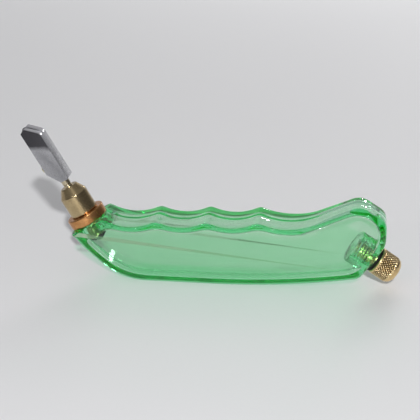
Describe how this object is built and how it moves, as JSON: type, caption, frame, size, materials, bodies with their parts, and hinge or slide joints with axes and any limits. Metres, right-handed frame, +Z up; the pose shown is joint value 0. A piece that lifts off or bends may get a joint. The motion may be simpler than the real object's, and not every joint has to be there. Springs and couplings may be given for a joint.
{
  "type": "glass cutter",
  "caption": "Hand-held oil-fed glass cutter with a hollow clear grip, finger grooves, sprung swivelling cutting head and a knurled filler cap.",
  "frame": {"origin": "middle of the footprint of the whole tool, on the surface that its back edge rests on", "axes": "+X along the handle from the cutting head to the filler cap, +Y across the width, +Z up with the finger grooves on top"},
  "size_m": [0.1516, 0.0186, 0.0615],
  "materials": {
    "clear_green_acrylic": "clear green acrylic, polished",
    "copper": "copper-toned ring, semi-gloss",
    "brass": "turned brass, satin, aged",
    "cap_brass": "knurled brass",
    "plated_steel": "plated steel bar, satin bright",
    "steel": "turned steel",
    "spring_steel": "spring wire",
    "carbide": "ground tungsten carbide",
    "screw_brass": "small brass screw",
    "rubber": "black rubber",
    "felt": "felt wick"
  },
  "bodies": {
    "handle": {"handle_shell_near": "clear_green_acrylic", "handle_shell_far": "clear_green_acrylic", "collar_ring": "copper", "nose_collar": "brass", "spindle_o_ring": "rubber", "return_spring": "spring_steel", "spring_seat": "steel", "retaining_ring": "spring_steel", "valve_seal": "rubber", "filler_neck": "clear_green_acrylic"},
    "spindle": {"spindle": "brass", "spindle_clip": "spring_steel", "valve_disc": "rubber", "oil_wick": "felt"},
    "head": {"cutter_head": "plated_steel", "wheel_axle": "steel"},
    "wheel": {"cutting_wheel": "carbide"},
    "lock_screw": {"head_lock_screw": "screw_brass"},
    "gasket": {"cap_gasket": "rubber"},
    "cap": {"filler_cap": "cap_brass"}
  },
  "joints": [
    {"name": "spindle_plunge", "type": "slide", "parent": "handle", "child": "spindle", "axis": [-0.5, 0, 0.866], "range_m": [-0.0008, 0], "stiffness_N_per_m": 400, "springref_m": 0.004, "deforming": ["return_spring"]},
    {"name": "head_swivel", "type": "hinge", "parent": "spindle", "child": "head", "pos_m": [-0.0649, 0, 0.04902], "axis": [-0.5, 0, 0.866], "range_deg": [-15, 15]},
    {"name": "wheel_spin", "type": "hinge", "parent": "head", "child": "wheel", "pos_m": [-0.0738, 0, 0.05953], "axis": [0, 1, 0], "continuous": true},
    {"name": "lock_screw_turn", "type": "hinge", "parent": "head", "child": "lock_screw", "pos_m": [-0.06342, 0, 0.04647], "axis": [-0.866, 0, -0.5], "range_deg": [0, 180]},
    {"name": "cap_travel", "type": "slide", "parent": "handle", "child": "gasket", "axis": [0.829, 0, -0.5592], "range_m": [0, 0.00813]},
    {"name": "cap_turn", "type": "hinge", "parent": "gasket", "child": "cap", "pos_m": [0.06555, 0, 0.01135], "axis": [0.829, 0, -0.5592], "range_deg": [0, 2340]}
  ],
  "couplings": [
    {"joint": "cap_turn", "follows": "cap_travel", "rad_per_m": 5026.5}
  ]
}
